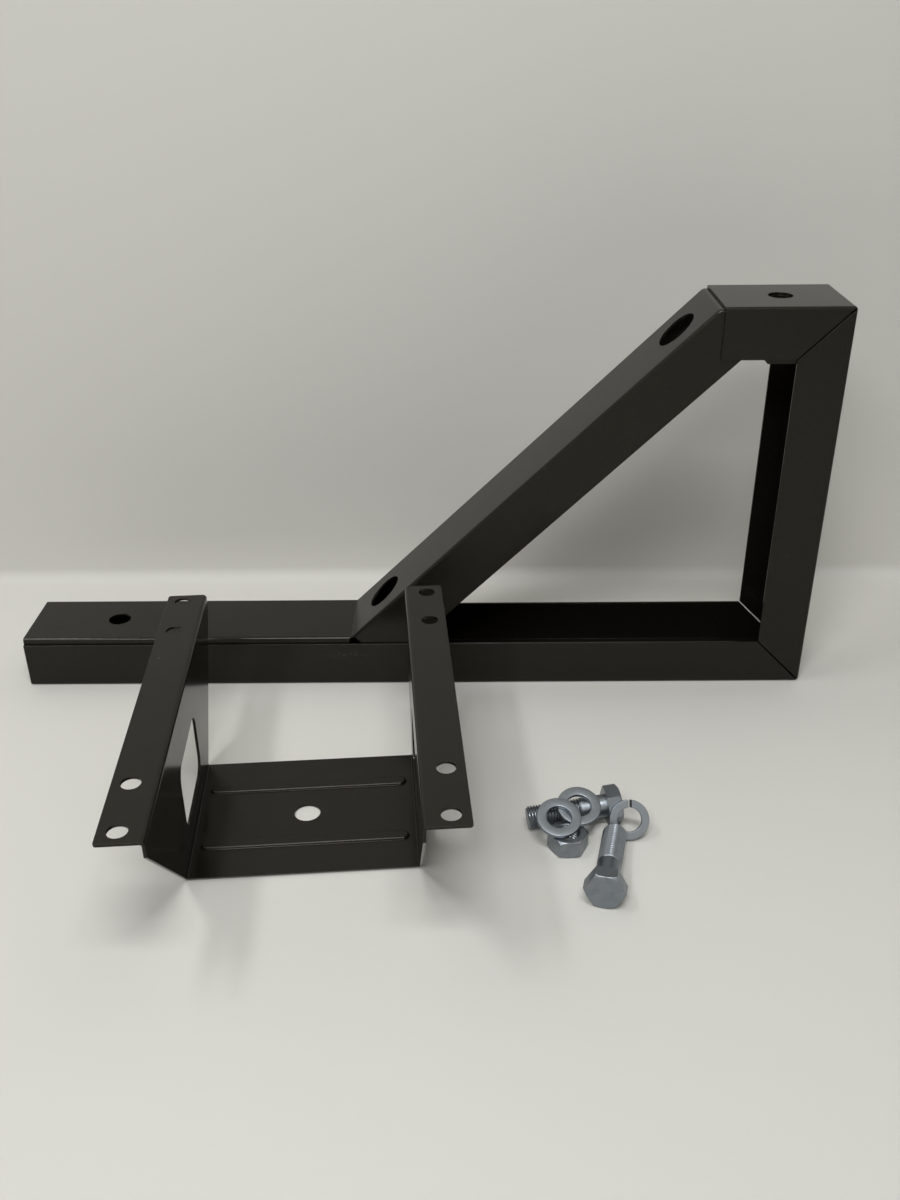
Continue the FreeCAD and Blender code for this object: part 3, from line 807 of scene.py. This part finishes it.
class BRACKET_OT_nut(bpy.types.Operator):
    """Turns the hexagon nut and threads its bore"""

    bl_idname = "bracket.nut"
    bl_label = "Nut"

    def execute(self, context):
        scene = context.scene
        thread = scene.bracket_thread
        tree = bpy.data.node_groups.get("screw_thread") or thread_tree()
        height, mouth = NUT_HEIGHT * MM, BORE_MOUTH * MM
        bore = grown(
            "hex_nut_threaded",
            tree,
            {
                "Pitch": thread.pitch,
                "Root": BORE_RADIUS * MM + thread.depth * BORE_SHARE,
                "Crest": BORE_RADIUS * MM,
                "Length": height,
                # The run-out lies below the nut, so the thread is whole from end to end
                "Plain": -2 * thread.pitch,
                "Start Radius": mouth,
                "End Radius": mouth,
                "Side": -1.0,
                "Around": thread.around + 1,
                "Rows": round(height / thread.pitch * thread.per_turn) + 1,
                "Material": plate_of(scene),
            },
        )
        block = turned_hexagon(height, thread.around, mouth, mouth, True)
        finish_fastener(bore, block, lying(NUT_PLACE), "hex_nut", THREAD_SHARP)
        return {"FINISHED"}


class BRACKET_OT_washers(bpy.types.Operator):
    """Stamps the two flat washers and softens the spring washer"""

    bl_idname = "bracket.washers"
    bl_label = "Washers"

    def execute(self, context):
        scene = context.scene
        tree = bpy.data.node_groups.get("flat_ring") or ring_tree()
        lifted = Matrix.Translation((0, 0, WASHER_THICK / 2 * MM))
        for node, place in WASHER_PLACES.items():
            washer = grown(
                node + "_plated",
                tree,
                {
                    "Middle": (WASHER_OUTSIDE + WASHER_HOLE) / 4 * MM,
                    "Width": (WASHER_OUTSIDE - WASHER_HOLE) / 2 * MM,
                    "Thickness": WASHER_THICK * MM,
                    "Edge": WASHER_EDGE * MM,
                    "Around": WASHER_AROUND,
                    "Material": plate_of(scene),
                },
            )
            finish_fastener(washer, bmesh.new(), lying(place) @ lifted, node, WASHER_SHARP)
        refined("spring_washer", "spring_washer_plated", scene.bracket_edges, plate_of(scene))
        return {"FINISHED"}


class BRACKET_PT_panel(bpy.types.Panel):
    """Lists the steps that dress the bracket"""

    bl_idname = "BRACKET_PT_panel"
    bl_label = "Heater bracket"
    bl_space_type = "VIEW_3D"
    bl_region_type = "UI"
    bl_category = "Bracket"

    def draw(self, context):
        scene = context.scene
        for step in STEPS:
            self.layout.operator(step.bl_idname)
        for name in GROUPS:
            group = getattr(scene, name)
            box = self.layout.box()
            for entry in group.__annotations__:
                box.prop(group, entry)


STEPS = (
    BRACKET_OT_stage,
    BRACKET_OT_arm,
    BRACKET_OT_yoke,
    BRACKET_OT_bolts,
    BRACKET_OT_nut,
    BRACKET_OT_washers,
)
GROUPS = {
    "bracket_enamel": BRACKET_PG_enamel,
    "bracket_zinc": BRACKET_PG_zinc,
    "bracket_edges": BRACKET_PG_edges,
    "bracket_thread": BRACKET_PG_thread,
    "bracket_stage": BRACKET_PG_stage,
}


def register():
    for kind in (*GROUPS.values(), *STEPS, BRACKET_PT_panel):
        bpy.utils.register_class(kind)
    for name, kind in GROUPS.items():
        setattr(bpy.types.Scene, name, PointerProperty(type=kind))


def unregister():
    for name in GROUPS:
        delattr(bpy.types.Scene, name)
    for kind in (BRACKET_PT_panel, *reversed(STEPS), *reversed(tuple(GROUPS.values()))):
        bpy.utils.unregister_class(kind)


def main():
    register()
    bpy.ops.bracket.stage()
    bpy.ops.bracket.arm()
    bpy.ops.bracket.yoke()
    bpy.ops.bracket.bolts()
    bpy.ops.bracket.nut()
    bpy.ops.bracket.washers()


if __name__ == "__main__":
    main()
